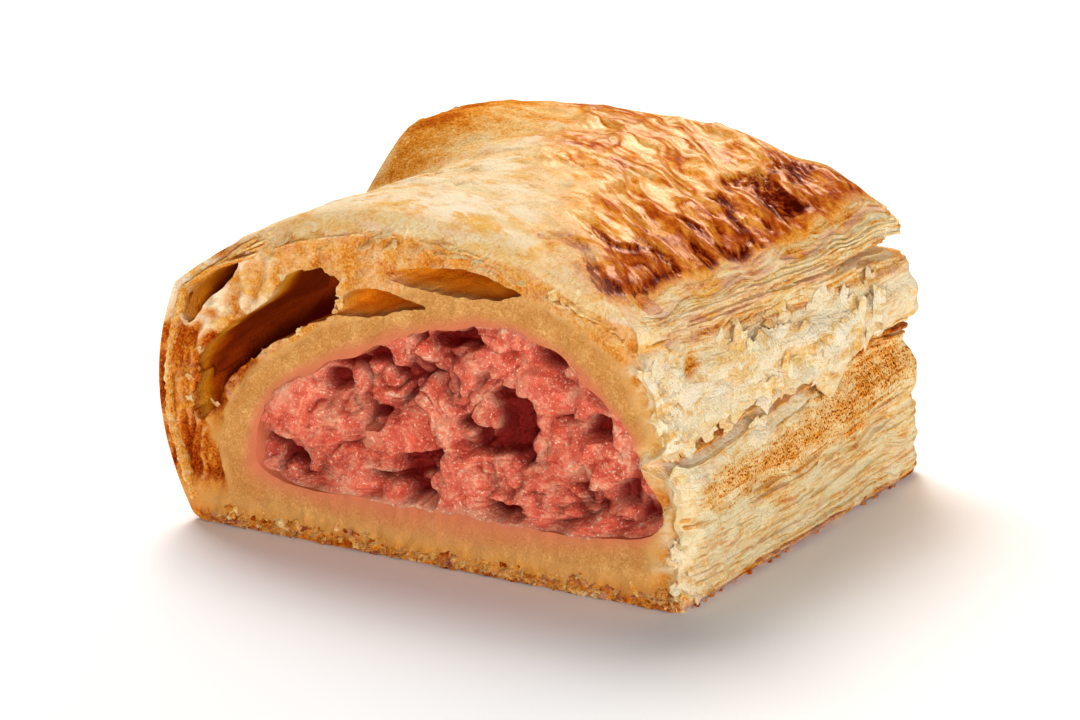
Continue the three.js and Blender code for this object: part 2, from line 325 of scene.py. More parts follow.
def outline(columns):
    """The base outline, column by column, counter-clockwise from the fold side of the cut."""
    seam = np.array([SEAM_X - SEAM_CORNER, END_Y - SEAM_CORNER])
    fold = np.array([FOLD_X_END + FOLD_CORNER, END_Y - FOLD_CORNER])
    points, sealed, fold_turn, cut_share = [], [], [], []
    for side, count in columns.items():
        share = np.arange(count) / count
        turn = share * QUARTER_TURN
        points.append({
            "cut": stack(lerp(FOLD_X_CUT, SEAM_X, share), CUT_Y),
            "seam": stack(SEAM_X, lerp(CUT_Y, seam[1], share)),
            "seam_corner": seam + SEAM_CORNER * stack(np.cos(turn), np.sin(turn)),
            "end": stack(lerp(seam[0], fold[0], share), END_Y),
            "fold_corner": fold + FOLD_CORNER * stack(-np.sin(turn), np.cos(turn)),
            "fold": stack(lerp(FOLD_X_END, FOLD_X_CUT, share), lerp(fold[1], CUT_Y, share)),
        }[side])
        sealed.append(lerp(*SEALED_STOPS.get(side, (0, 0)), share))
        fold_turn.append(share if side == "fold_corner" else np.full(count, float(side == "fold")))
        cut_share.append(share if side == "cut" else np.full(count, np.nan))
    at = place(np.concatenate(points), np.concatenate(sealed), np.concatenate(fold_turn))
    at.cut_share = np.concatenate(cut_share)
    at.run = at.run - at.run[np.argmax(np.isnan(at.cut_share))]
    return at


def place(points, sealed, fold_turn):
    """What the form functions need to know of points on the base outline."""
    seam_turn = unit((sealed - CORNER_TURN[0]) / (CORNER_TURN[1] - CORNER_TURN[0]))
    angle = (seam_turn + fold_turn) * QUARTER_TURN
    steps = np.linalg.norm(np.diff(points, axis=0, append=points[:1]), axis=-1)
    return SimpleNamespace(
        x=points[:, 0], y=points[:, 1], out=stack(np.cos(angle), np.sin(angle)),
        sealed=sealed, fold=smoothstep(sealed, *FOLD_BLEND), run=np.cumsum(steps) - steps,
    )


def pushed_out(at, outset):
    """Where points of the base outline come to lie when they are pushed out of it."""
    return at.x + at.out[:, 0] * outset, at.y + at.out[:, 1] * outset


def wall_outset(at, z, edge_z):
    """How far the smooth wall lies outside the base outline at a height."""
    wave = GROOVE_WAVE * np.sin(GROOVE_TURNS * at.sealed)
    sealed_wall = -eased(LEAN, at.sealed) * smoothstep(z, *LEAN_Z)
    for groove_z, drop, depth, half in GROOVES:
        sealed_wall = sealed_wall - depth * bell(z + drop * at.sealed - wave, groove_z, half)
    foot = eased(LID_FOOT_Z, at.sealed)
    in_lid = np.maximum(0, (z - foot) / (edge_z - foot))
    sealed_wall = sealed_wall - eased(LID_INSET, at.sealed) * in_lid**2
    gap = eased(GAP_DEPTH, at.sealed)
    sealed_wall = sealed_wall - gap * unit(1 - np.abs(z - foot) / (GAP_SLOPE * gap + 1e-6))
    bulge = lerp(FOLD_BULGE_CUT, 0, share_of_length(at.y))
    fold_wall = bulge * (1 - ((z / edge_z - BULGE_SHARE) / BULGE_SHARE) ** 2)
    bevel = FOOT_BEVEL * np.maximum(0, 1 - z / FOOT_BEVEL) ** 2
    return lerp(sealed_wall, fold_wall, at.fold) - bevel


def wall_edge(at):
    """Height of the top at the head of the wall."""
    return top_height(*pushed_out(at, wall_outset(at, CROWN_Z_END, CROWN_Z_END)))


def fold_side_of_cut(rise):
    """The fold side's outline on the cut face."""
    end = place(np.array([[FOLD_X_CUT, CUT_Y]]), np.ones(1), np.ones(1))
    edge = wall_edge(end)
    return end.x - wall_outset(end, rise * edge, edge), rise * edge


def ham_reach(angle):
    """Distance from the middle of the filling's section to its rim, by angle."""
    away = closed_spline(HAM_OUTLINE, 24) - np.array(HAM_CENTRE)
    angles = np.arctan2(away[:, 1], away[:, 0])
    order = np.argsort(angles)
    return np.interp(angle, angles[order], np.linalg.norm(away, axis=1)[order], period=FULL_TURN)


def past_ham(x, z):
    """Distance outside the rim of the filling, on the cut face."""
    away = stack(x - HAM_CENTRE[0], z - HAM_CENTRE[1])
    return np.linalg.norm(away, axis=-1) - ham_reach(np.arctan2(away[..., 1], away[..., 0]))


# Relief and browning of the crust

# Zones of the layered walls: heights by distance along the wall from the cut
BAND_Z = [(9, 12.2), (30, 12), (40, 13.2), (48, 15.2), (57, 15), (75, 12), (108, 11)]
BAND_HALF = [(9, 1.9), (20, 2.3), (30, 2.8), (48, 3.3), (60, 2.4), (108, 2)]
CREVICE_Z = [(9, 17.6), (21, 18.7), (32, 18.7), (38, 17.6), (44, 19.6), (57, 20), (80, 17), (108, 19)]
PILLOW_Z = [(9, 29.6), (16, 28.7), (27, 27.9), (37, 26.9), (60, 27), (85, 28), (108, 28)]
BAND_START = (3, 10)
PIT_RUN, PIT_Z, PIT_SLANT = 8.7, 26.4, 0.4
PIT_HALF, PIT_DEPTH = (2.4, 1.2), 0.9
TORN_FRONT = 6.0


def wall_zones(at):
    """Heights that part the layered walls: brown band, crevice, head of the pale pillow, foot of the lid."""
    band, half = eased(BAND_Z, at.run), eased(BAND_HALF, at.run)
    return SimpleNamespace(
        band=band, half=half, low=band - half, high=band + half,
        crevice=eased(CREVICE_Z, at.run), pillow=eased(PILLOW_Z, at.run), lid=eased(LID_FOOT_Z, at.sealed),
    )


def wall_browning(at, z, edge_z):
    """Browning of the layered walls: a speckled band, a golden line, a browned foot and lid edge, and
    painted shade in the crevice and along the foot of the lid.
    """
    zone = wall_zones(at)
    drift = patchy(at.run, z, 6, 5, 3, 21)
    band = bell(z + 0.7 * drift, zone.band, zone.half) * smoothstep(at.run, *BAND_START)
    line = bell(z + 0.5 * drift, zone.pillow, 0.8)
    # Painted shade: darker in the crevice under the pale pillow and along the foot of the lid
    shade = 1.6 * bell(z, zone.crevice - 1.0, 0.6) + 0.7 * bell(z + 0.4 * drift, zone.lid, 0.8)
    rim = smoothstep(z, edge_z - 2.2, edge_z - 0.3)
    foot = smoothstep(-z, -1.8, -0.4)
    along = at.run - PIT_RUN
    pit = bell(along, 0, PIT_HALF[0]) * bell(z - PIT_SLANT * along, PIT_Z, PIT_HALF[1])
    bake = 0.1 + 0.07 * drift + 0.26 * band + 0.3 * line + 0.2 * shade + 0.24 * rim + 0.5 * foot + 0.42 * pit
    return bake, band, pit


def sealed_relief(at, z, edge_z):
    """Relief and masks of the layered walls: a pale pillow over a crevice, grainy and layered below it."""
    zone = wall_zones(at)
    bake, band, pit = wall_browning(at, z, edge_z)
    wander = patchy(at.run, z, 7, 5, 3, 30)
    crumbs = patchy(at.run, z, 1.5, 1.1, 3, 31)
    level = (z + 0.8 * wander - zone.crevice) / (zone.pillow - zone.crevice)
    pillow = np.sqrt(unit(4 * level * (1 - level)))
    grainy = smoothstep(z, zone.high - 1, zone.high + 1) * smoothstep(zone.crevice - z, 0, 1.5)
    torn = smoothstep(-at.run, -TORN_FRONT, 0)
    spongy = patchy(at.run, z, 2.2, 1.8, 3, 33)
    relief = 1.8 * pillow + 0.5 * wander - 1.4 * bell(z, zone.crevice - 1.0, 0.7) - PIT_DEPTH * pit
    relief = relief + (0.2 + 0.25 * grainy + 0.15 * band) * crumbs + 0.7 * torn * spongy - 0.4 * torn
    fade = smoothstep(z, 0, 1.2) * smoothstep(edge_z - z, 0, 1.5)
    pale = 0.12 + 0.68 * pillow + 0.55 * grainy + 0.4 * torn
    white = unit(pale + 0.45 * wander + 0.25 * crumbs - 1.3 * band - 1.2 * pit)
    layered = np.clip(1 - 0.4 * pillow - 0.5 * grainy - torn - 0.6 * band, 0.1, 1)
    return relief * fade, bake + 0.1 * crumbs, white, 0.45 * band, layered


FOLD_CREASE_Z = 11.0


def fold_relief(at, z, edge_z):
    """Relief and masks of the folded side: a taut browned skin above a crease, pressed layers below it."""
    around = stack(at.run / 9, z / 6)
    crease = FOLD_CREASE_Z + 4.5 * fractal(stack(at.run / 14, 0.5), 3, 55)
    low = smoothstep(crease - z + 1.5 * fractal(around, 2, 59), -1.5, 3.5)
    streaks = patchy(at.run, z, 2.2, 11, 3, 57)
    ribs = fractal(stack(at.run / 26, (z + 0.8 * noise(around * 0.8, 58)) / 1.2), 2, 56)
    skin = 0.5 * fractal(around, 3, 51) + 0.12 * streaks
    relief = lerp(skin, 0.55 * ribs, low) - 0.4 * bell(z, crease, 0.9)
    fade = smoothstep(z, 0, 2) * smoothstep(edge_z - z, -1, 3)
    bake = 0.34 + 0.09 * fractal(around * 0.8, 3, 53) + 0.1 * streaks + 0.06 * low
    bake = bake + 0.3 * smoothstep(-z, -5, -0.5) + 0.1 * low * ribs + 0.06 * bell(z, crease, 1.2)
    white = unit(0.8 * patchy(at.run, z, 6, 3, 3, 54) - 0.1 - 0.5 * low)
    return relief * fade, bake, white, 0 * z, 0.55 * low


# A point on the edge of the glaze, and the way in from it
GLAZE_EDGE, GLAZE_WAY = (-8, 13), (0.82, 0.574)


def glazed(x, y):
    """How far a point of the top lies inside the glazed skin, in millimetres, with a ragged edge."""
    inward = GLAZE_WAY[0] * (x - GLAZE_EDGE[0]) + GLAZE_WAY[1] * (y - GLAZE_EDGE[1])
    return inward + 5.5 * patchy(x, y, 10, 10, 3, 61) + 1.2 * noise(stack(x / 1.6, y / 1.6), 62)


WRINKLE_WAY = (0.85, -0.53)
LID_EDGE_X = [(0, 27), (0.5, 29.5), (1, 30)]
# Middle and radius of the browned hump near the fold
HUMP_MIDDLE, HUMP_RADIUS = (-22, 20), 13


def top_relief(x, y, inward):
    """Relief and masks of the top: a wrinkled glazed skin, and pale torn sheets where it has flaked off."""
    inside = glazed(x, y)
    skin = smoothstep(inside, -0.5, 1.0)
    brown = smoothstep(inside, -5, 6)
    gloss = smoothstep(inside, -0.5, 6)
    bend = 3 * stack(noise(stack(x / 8, y / 8), 63), noise(stack(x / 8, y / 8), 64))
    warped = stack(x, y) + bend
    along = warped @ np.array(WRINKLE_WAY)
    across = warped @ np.array([-WRINKLE_WAY[1], WRINKLE_WAY[0]])
    folds = 1 - np.abs(patchy(along, across, 14, 4.2, 2, 71)) * 2.6
    strokes = patchy(along, across, 4.5, 1.5, 3, 75)
    clumps = patchy(along, across, 7, 4, 2, 77)
    blister = patchy(x, y, 1.7, 1.7, 3, 72)
    patches = patchy(x, y, 7, 7, 2, 74)
    fibre = fractal(stack(x / 9 + 0.4 * y / 9, y / 1.3 + 0.25 * x / 1.3), 3, 73)
    sheets = [fractal(stack(x / 8 + 9 * i, y / 4), 4, 80 + i) for i in range(3)]
    torn = sum(smoothstep(sheet, -0.05, 0.05) for sheet in sheets) / 3
    hump = np.exp(-((x - HUMP_MIDDLE[0]) ** 2 + (y - HUMP_MIDDLE[1]) ** 2) / HUMP_RADIUS**2)
    fold_edge = smoothstep(-x + 4 * patches, 19, 29)
    from_edge = eased(LID_EDGE_X, share_of_length(y)) - x
    to_edge = 1 - smoothstep(from_edge + 5 * patches, 3, 15)
    char = skin * smoothstep(strokes + 0.45 * to_edge, 0.2, 0.5) * smoothstep(to_edge, 0, 0.4)
    char = char * smoothstep(from_edge + 1.5 * strokes + 2.5 * patches, 0.5, 2.5)
    char = char * smoothstep(clumps, -0.3, 0.1)
    relief = skin * (0.25 + 0.4 * folds + 0.15 * blister - 0.35 * char)
    relief = relief + (1 - skin) * (0.2 * fibre + 0.45 * torn)
    dark = 0.4 + 0.05 * folds + 0.06 * blister + 0.1 * patches + 0.14 * to_edge + 0.12 * char
    pale = 0.09 + 0.18 * fibre + 0.1 * (1 - torn) + 0.3 * hump + 0.1 * fold_edge
    white = (1 - brown) * unit(0.4 + 0.4 * torn + 0.6 * fibre - 1.4 * hump - 1.2 * fold_edge)
    return relief * smoothstep(inward, 0, 0.04), lerp(pale, dark, brown), white, gloss, char


WEB_RECESS = 1.0
ROLL_HEIGHT, ROLL_START_X = 2.4, (-24, -14)


def cut_relief(x, z, edge_z, share):
    """Relief and masks of the cut face: dense dough round the ham, a torn web, the rolled skin, and painted
    shade on the lower left flank.
    """
    past = past_ham(x, z)
    left = smoothstep(-x, 16, 27)
    wander = patchy(x, z, 4, 4, 3, 81)
    roof = 1 - smoothstep(edge_z - z + 0.8 * wander, 4.4, 5.8)
    flank = (1 - smoothstep(70 * share + wander, 5.5, 8.0)) * smoothstep(z, 2, 6)
    corner = 1 - smoothstep(66 * (1 - share) + 1.5 * wander, 1.5, 4.5)
    outer = smoothstep(past + 0.8 * wander, 4.6, 5.8) * smoothstep(z, 9, 15)
    foot = 1 - smoothstep(z + 0.9 * wander, 0.5, 1.6)
    web = np.maximum(np.maximum(roof, flank), np.maximum(0.8 * corner, outer)) * (1 - foot)
    ring = (1 - web) * (1 - foot)
    roll = 1 - smoothstep(edge_z - z + 0.5 * wander, ROLL_HEIGHT - 0.6, ROLL_HEIGHT + 0.4)
    roll = roll * smoothstep(x, *ROLL_START_X)
    torn, rolled = web * (1 - roll), web * roll
    strands = 1 - 2.6 * np.abs(fractal(stack(x / 3.2 + 0.3 * wander, z / 3.2), 3, 84))
    upright = 1 - 2.6 * np.abs(fractal(stack(x / 1.4 + 0.5 * wander, z / 8), 3, 87))
    strands = lerp(strands, upright, flank * smoothstep(-z, -25, -17))
    fibre = fractal(stack(x / 6 + z / 8, z / 0.9), 3, 86)
    crumb = patchy(x, z, 0.9, 0.9, 3, 85)
    lacy = lerp(0.3, 1, np.maximum(left, corner))
    low = smoothstep(-z, -4.5, -0.8)
    # Painted shade: the lower left flank is browned darker and kept less white, for the shade it lies in
    shaded = left * smoothstep(-z, -30, -18)
    relief = torn * (WEB_RECESS * lacy * (0.7 * strands - 0.9) + 0.2 * crumb) + rolled * 0.15 * fibre
    relief = relief + ring * (0.16 + 0.3 * low) * crumb + foot * 0.5 * crumb
    bake = torn * (0.48 - 0.14 * lacy - 0.2 * lacy * strands + 0.33 * shaded)
    bake = bake + rolled * (0.24 + 0.12 * fibre) + ring * (0.25 + 0.2 * low) + foot * (0.5 + 0.2 * crumb)
    white = torn * lacy * unit(0.7 * strands + 0.45 * left - 0.9 * shaded)
    white = white + rolled * unit(0.35 + 0.6 * fibre)
    pink = ring * (1 - smoothstep(past + 0.5 * wander, 0.0, 2.2 + 3.6 * smoothstep(-z, -9, -4)))
    return relief, bake, white, ring * (1 - 0.55 * low), pink


def crust_grid():
    """The whole crust as one closed tube of points from base to top, with its masks."""
    at = outline(CRUST_COLUMNS)
    on_cut = ~np.isnan(at.cut_share)
    share = np.where(on_cut, at.cut_share, 0)
    edge_z = wall_edge(at)
    rise = np.linspace(0, 1, WALL_ROWS + 1)[:, None]
    z = rise * edge_z
    sealed = sealed_relief(at, z, edge_z)
    fold = fold_relief(at, z, edge_z)
    relief, bake, white, speckle, layered = (lerp(s, f, at.fold) for s, f in zip(sealed, fold))
    x, y = pushed_out(at, wall_outset(at, z, edge_z) + relief)

    # The cut face spans the walls on its two sides
    seam_column = int(np.argmax(~on_cut))
    cut_x = lerp(fold_side_of_cut(rise)[0], x[:, seam_column][:, None], share)
    cut_edge = top_height(cut_x[-1], CUT_Y)
    cut_z = rise * cut_edge
    cut_out, cut_bake, cut_white, ring, pink = cut_relief(cut_x, cut_z, cut_edge, share)
    middle = 1 - (2 * share - 1) ** 2
    in_lip = unit(1 - (cut_edge - cut_z) / LIP_HEIGHT)
    fade = smoothstep(middle, 0, 0.06) * smoothstep(cut_z, 0, 1.0) * smoothstep(1 - rise, 0, 0.02)
    cut_y = CUT_Y + LIP_SET_BACK * in_lip**2 * middle - cut_out * fade
    x, y, z = (np.where(on_cut, c, w) for c, w in ((cut_x, x), (cut_y, y), (cut_z, z)))
    bake, white = np.where(on_cut, cut_bake, bake), np.where(on_cut, cut_white, white)
    ring, pink = ring * on_cut, pink * on_cut

    # The top closes over the walls, ring by ring
    inward = (np.arange(1, TOP_ROWS) / TOP_ROWS)[:, None]
    top_x, top_y = x[-1] * (1 - inward), y[-1] * (1 - inward)
    top_out, top_bake, top_white, gloss, char = top_relief(top_x, top_y, inward)
    top_z = top_height(top_x, top_y) + top_out
    blend = smoothstep(inward, 0, 0.06)
    top_bake = lerp(bake[-1], top_bake, blend)
    top_white = lerp(white[-1], top_white, blend)

    # The base is flat and browned
    foot = np.array([0.45, 0.9])[:, None]
    plain = np.zeros((2, x.shape[1]))
    none = 0 * top_x
    masks = {
        "bake": (plain + 0.6, bake, top_bake),
        "white": (plain, white, top_white),
        "dough": (plain, ring, none),
        "pink": (plain, pink, none),
        "speckle": (plain, speckle * ~on_cut, none),
        "layered": (plain, layered * ~on_cut, none),
        "gloss": (plain, 0 * x, gloss * blend),
        "char": (plain, 0 * x, char * blend),
    }
    parts = ((x[0] * foot, x, top_x), (y[0] * foot, y, top_y), (plain, z, top_z))
    points = stack(*[np.vstack(rows) for rows in parts])
    return points, {name: np.vstack(rows) for name, rows in masks.items()}


CUTTER_LEAD = 4.0
HOLLOW_PLAY = 0.3
POCKET_RAGGED = 0.14
NEW_POINT_GAP = 0.02


def hollow_sections():
    """The hollow that the filling lies in."""
    turn = -np.linspace(0, FULL_TURN, HOLLOW_COLUMNS, endpoint=False)
    y = lerp(CUT_Y - CUTTER_LEAD, HAM_END_Y + HOLLOW_PLAY, np.linspace(0, 1, HOLLOW_ROWS)[:, None])
    run = np.maximum(0, (y - CUT_Y) / (HAM_END_Y - CUT_Y))
    reach = ham_rim(turn) * lerp(1, HAM_END_SCALE, run)
    return stack(HAM_CENTRE[0] + reach * np.cos(turn), y, HAM_CENTRE[1] + reach * np.sin(turn))


def pocket_sections(rim, towards, depth, seed):
    """An air pocket that opens on the cut and closes towards a point as it runs in."""
    rim = closed_spline(rim, RIM_STEPS)
    rows = np.concatenate([[-CUTTER_LEAD], np.linspace(-1.5, 1, 6), np.linspace(2, depth, 20)])[:, None]
    run = np.clip(rows / depth, 0, 0.999)
    towards = np.array(towards)
    away = rim - towards
    ragged = POCKET_RAGGED * fractal(stack(rim[:, 0] / 1.3, rim[:, 1] / 1.3, rows / 3), 3, seed)
    points = towards + away * (np.sqrt(1 - run**2) * (1 + ragged))[..., None]
    return stack(points[..., 0], CUT_Y + rows, points[..., 1])


def build_crust():
    points, masks = crust_grid()
    verts, faces = closed_tube(points)
    crust = new_object("crust", verts, faces)
    hollows = Pile()
    hollows.add_tube(hollow_sections())
    for i, (rim, towards, depth, _) in enumerate(POCKETS):
        hollows.add_tube(pocket_sections(rim, towards, depth, 100 + 3 * i))
    cutter = hollows.build("cutter")
    cut = crust.modifiers.new("hollows", "BOOLEAN")
    cut.operation, cut.solver, cut.object = "DIFFERENCE", "MANIFOLD", cutter
    made = bpy.data.meshes.new_from_object(crust.evaluated_get(bpy.context.evaluated_depsgraph_get()))
    crust.modifiers.clear()
    crust.data = made
    bpy.data.objects.remove(cutter)

    # Masks come from the nearest point before the cut; points on the hollows are new
    tree = KDTree(len(verts))
    for i, v in enumerate(verts):
        tree.insert(v, i)
    tree.balance()
    now = positions(crust)
    found = [tree.find(v) for v in now]
    nearest = np.array([f[1] for f in found])
    fresh = np.array([f[2] for f in found]) > NEW_POINT_GAP
    for name, rows in masks.items():
        set_attribute(crust, name, with_ends(rows)[nearest])
    depth = now[:, 1] - CUT_Y - WEB_RECESS
    by_ham = past_ham(now[:, 0], now[:, 2]) < 2
    set_attribute(crust, "hollow", fresh * ~by_ham * smoothstep(depth, 0, 1.5))
    # Painted shade: pocket walls darken with depth, fully at each pocket's depth where darkest
    flat = now[:, None, [0, 2]]
    to_rims = [np.linalg.norm(flat - closed_spline(rim, 2), axis=-1).min(1) for rim, *_ in POCKETS]
    darkest = np.array([pocket[-1] for pocket in POCKETS])[np.argmin(to_rims, axis=0)]
    set_attribute(crust, "depth", fresh * unit(depth / darkest))
    return crust


# Sheets of the laminated walls

def sheet_heights(at, edge_z):
    """Heights of the sheets along the wall: tight in the base, few in the middle, tight again in the lid."""
    zone = wall_zones(at)
    heights = [zone.low * share for share in np.linspace(0.1, 1, 13)]
    heights += [lerp(zone.high, zone.crevice, share) for share in (0.1, 0.45, 0.8)]
    heights += [lerp(zone.pillow, zone.lid, share) for share in (0.15, 0.4, 0.65, 0.9)]
    heights += [lerp(zone.lid + 0.6, edge_z - 0.9, share) for share in np.linspace(0, 1, 8)]
    return heights


# A sheet in section: depth of its root, where it bends, heights in thicknesses, where it sags, tint
SHEET_ROOT, SHEET_KNEE = 2.2, 0.45
SHEET_HEIGHTS = np.array([0.5, 0.5, 0.3, -0.3, -0.5, -0.5])
SHEET_SAG = np.array([0, 0, 1, 1, 0, 0])
SHEET_TINTS = np.array([0, 0.02, 0.12, 0.12, 0.04, 0])


def slab(at, outer, z, thick, sag):
    """A thin sheet that runs along the wall and stands out to an outer offset."""
    inner, knee = outer - SHEET_ROOT, outer - SHEET_KNEE
    offsets = stack(inner, knee, outer, outer, knee, inner)
    heights = z[:, None] + thick * SHEET_HEIGHTS - sag[:, None] * SHEET_SAG
    x, y = pushed_out(at, offsets.T)
    return stack(x.T, y.T, heights)


def build_wall_sheets():
    at = outline(SHEET_COLUMNS)
    edge_z = wall_edge(at)
    pile = Pile()
    for k, z in enumerate(sheet_heights(at, edge_z)):
        wander = 0.7 * patchy(at.run, z, 16, 9, 2, 11)
        z = z - wander * smoothstep(z, 0, 6) * smoothstep(edge_z - z, 0, 5)
        tone, stop = random_of(np.array([[k, 1], [k, 2]]), 12)
        wide = fractal(stack(at.run / 12, 7.3 * k), 2, 13)
        ragged = fractal(stack(at.run / 1.8, 7.3 * k), 3, 14)
        broken = smoothstep(noise(stack(at.run / 9, 3.7 * k), 15), 0.15, 0.5)
        # The sheets take the walls' browning, with its painted shade in the crevice and under the lid
        bake, band, pit = wall_browning(at, z, edge_z)
        reach = 0.22 + 0.3 * wide + 0.14 * ragged - 0.4 * broken - 0.9 * PIT_DEPTH * pit - 3 * at.fold
        reach = reach - 0.7 * (1 - smoothstep(at.run, 2.5 * stop, 2.5 * stop + 3)) - 0.3 * band
        reach = reach * smoothstep(edge_z - z, -0.5, 1.5)
        sag = 0.12 * np.maximum(0, reach) + 0.12 * ragged
        sheet = slab(at, wall_outset(at, z, edge_z) + reach, z, 0.4 + 0.2 * tone, sag)
        sheet[..., 1] = np.maximum(sheet[..., 1], CUT_Y + 1.2 + 1.5 * stop)
        tint = (bake + 0.16 * (tone - 0.4) + 0.1 * ragged)[:, None] + SHEET_TINTS
        white = unit(0.36 * tone + 0.4 * wide - 1.2 * band - 1.5 * pit)[:, None]
        band = band[:, None]
        pile.add_tube(sheet, bake=tint, white=white, speckle=0.45 * band, layered=0.6 - 0.4 * band)
    return pile.build("wall_sheets")


# Big pale flakes on the seam side: upper edge, how far they stand out, and their lower edge by length
FLAKES = [
    (25.5, 1.0, [(-17, 19.0), (-9, 19.2), (2.3, 19.0), (5.5, 17.0),
                 (8.6, 14.9), (10.5, 16.8), (13.5, 19.6), (17, 21)]),
    (29.0, 0.7, [(-16, 24.5), (-13, 22.6), (-9, 23.0), (-5, 23.8), (0, 25.0)]),
    (27.0, 0.8, [(3, 23.5), (9, 22.4), (15, 21.0), (20, 19.6), (24, 20.2), (26.4, 22.0)]),
    (17.0, 0.6, [(-27, 15.5), (-22, 14.2), (-15, 14.8), (-8, 14.4), (-1, 15.2), (4, 16.2)]),
]
FLAKE_THICK = 0.25
# Below this height a flake hangs straight; the wall behind it counts as this high
FLAKE_HANG_Z, FLAKE_WALL_Z = 19.5, 38


def build_flakes():
    pile = Pile()
    down = np.linspace(0, 1, FLAKE_ROWS)[:, None]
    for k, (high, stand, low) in enumerate(FLAKES):
        low = np.array(low)
        y = np.arange(low[0, 0], low[-1, 0], FLAKE_STEP)
        ragged = 0.6 * fractal(stack(y / 2.2, 0.5 + 9 * k), 3, 301)
        z = lerp(high + 0 * y, np.interp(y, *low.T) + ragged, down)
        sealed = lerp(*SEALED_STOPS["seam"], (y - CUT_Y) / (END_Y - SEAM_CORNER - CUT_Y))
        at = place(stack(SEAM_X + 0 * y, y), sealed, 0 * y)
        lines = fractal(stack(y / 9 + z / 12, z / 1.1 + 0.1 * y), 3, 304 + k)
        puff = lerp(-0.6, stand, smoothstep(down, 0, 0.75)) + 0.4 * patchy(y, z, 6, 3, 3, 302 + k)
        puff = puff + 0.16 * lines
        curl = 0.35 * smoothstep(down, 0.85, 1)
        ends = smoothstep(np.minimum(y - y[0], y[-1] - y), 0, 4)
        out = wall_outset(at, np.maximum(z, FLAKE_HANG_Z), FLAKE_WALL_Z) + lerp(-0.9, puff - curl, ends)
        front = stack(SEAM_X + out, y + 0 * z, z)
        back = front - np.array([FLAKE_THICK, 0, 0])
        shade = 0.12 + 0.14 * lines + 0.1 * patchy(y, z, 5, 4, 2, 306 + k)
        white = unit(0.6 + 0.6 * patchy(y, z, 6, 3, 2, 307 + k) - 0.5 * lines)
        bake, pale = there_and_back(shade, shade).T, there_and_back(white, white).T
        pile.add_tube(there_and_back(front, back).swapaxes(0, 1), bake=bake, white=pale, layered=0.6)
    return pile.build("flakes")


# Small flakes: thin ragged petals, held along their upper side

PETAL_RINGS = np.array([0.35, 0.7, 1.0])
PETAL_THICK, PETAL_ROOT = 0.12, 0.45
FLOOR_GAP = 0.02
DOWN, OUT_OF_CUT = np.array([0.0, 0.0, -1.0]), np.array([0.0, -1.0, 0.0])
# Kinds of petal: ranges of length, width, stand, browning and paleness, how far they turn, how torn they are
SEAM_PETAL = (2, 7), (1.2, 3.5), (0.1, 0.6), (0.02, 0.3), (0.1, 1), 0.5, 0.9
END_PETAL = (2, 6), (1.2, 2.6), (0, 0.3), (0.02, 0.3), (0.1, 1), 0.5, 0.9
CORNER_PETAL = (1, 2.5), (1, 2), (0.1, 0.45), (0.1, 0.32), (0.1, 0.7), 0.5, 0.9
POCKET_PETAL = (0.7, 1.5), (0.6, 1.1), (0, 0.1), (0.2, 0.36), (0, 0.4), 0.4, 1.0
ROOF_PETAL = (1, 3.2), (0.6, 1.4), (0, 0.3), (0.22, 0.4), (0, 0.3), 0.3, 0.6
FOOT_PETAL = (0.6, 2.0), (0.5, 1.3), (0.1, 0.6), (0.32, 0.66), (0, 0.2), 0.8, 0.8
# Petals of the layered walls: kind, count, where they lie along the walls and by share of their height
WALL_PETALS = [
    (SEAM_PETAL, 170, (2, 52), (0.36, 0.8)),
    (END_PETAL, 130, (62, 100), (0.3, 0.8)),
    (CORNER_PETAL, 90, (0, 5), (0.05, 0.85)),
]
# Numbers and places of the petals on the cut face
POCKET_PETALS, POCKET_MARGIN = 12, 0.05
ROOF_PETALS, ROOF_X = 24, (-20, 22)
FOOT_PETALS, FOOT_X = 220, (-29, 35)


def add_petals(pile, rng, kind, spots):
    """Petals of a kind at spots on a surface: middles, ways out of the surface, ways down it."""
    length, width, stand, bake, white, spin, torn = kind
    turn = np.linspace(0, FULL_TURN, PETAL_COLUMNS, endpoint=False)
    circle = stack(np.cos(turn), np.sin(turn))
    for middle, out, down in zip(*spots):
        out = out / np.linalg.norm(out)
        down = down - out * (down @ out)
        down /= np.linalg.norm(down)
        side = np.cross(out, down)
        angle = spin * rng.normal()
        cos, sin = math.cos(angle), math.sin(angle)
        side, down = cos * side + sin * down, cos * down - sin * side
        long, wide, rise = (rng.uniform(*span) for span in (length, width, stand))
        ragged = 1 + torn * fractal(2 * circle + 90 * rng.random(2), 3, 311)
        across, along = (PETAL_RINGS[:, None] * ragged * part for part in circle.T)
        lift = lerp(-PETAL_ROOT, rise, smoothstep(along, -0.8, 0.9)) - 0.3 * rise * across**2
        flat = middle + (across * long / 2)[..., None] * side + (along * wide / 2)[..., None] * down
        over = flat + lift[..., None] * out
        under = flat + (lift - PETAL_THICK)[..., None] * out
        points = there_and_back(over, under)
        points[..., 2] = np.maximum(points[..., 2], FLOOR_GAP)
        tone = rng.uniform(*bake)
        pile.add_tube(points, bake=tone, white=rng.uniform(*white), layered=0.3)


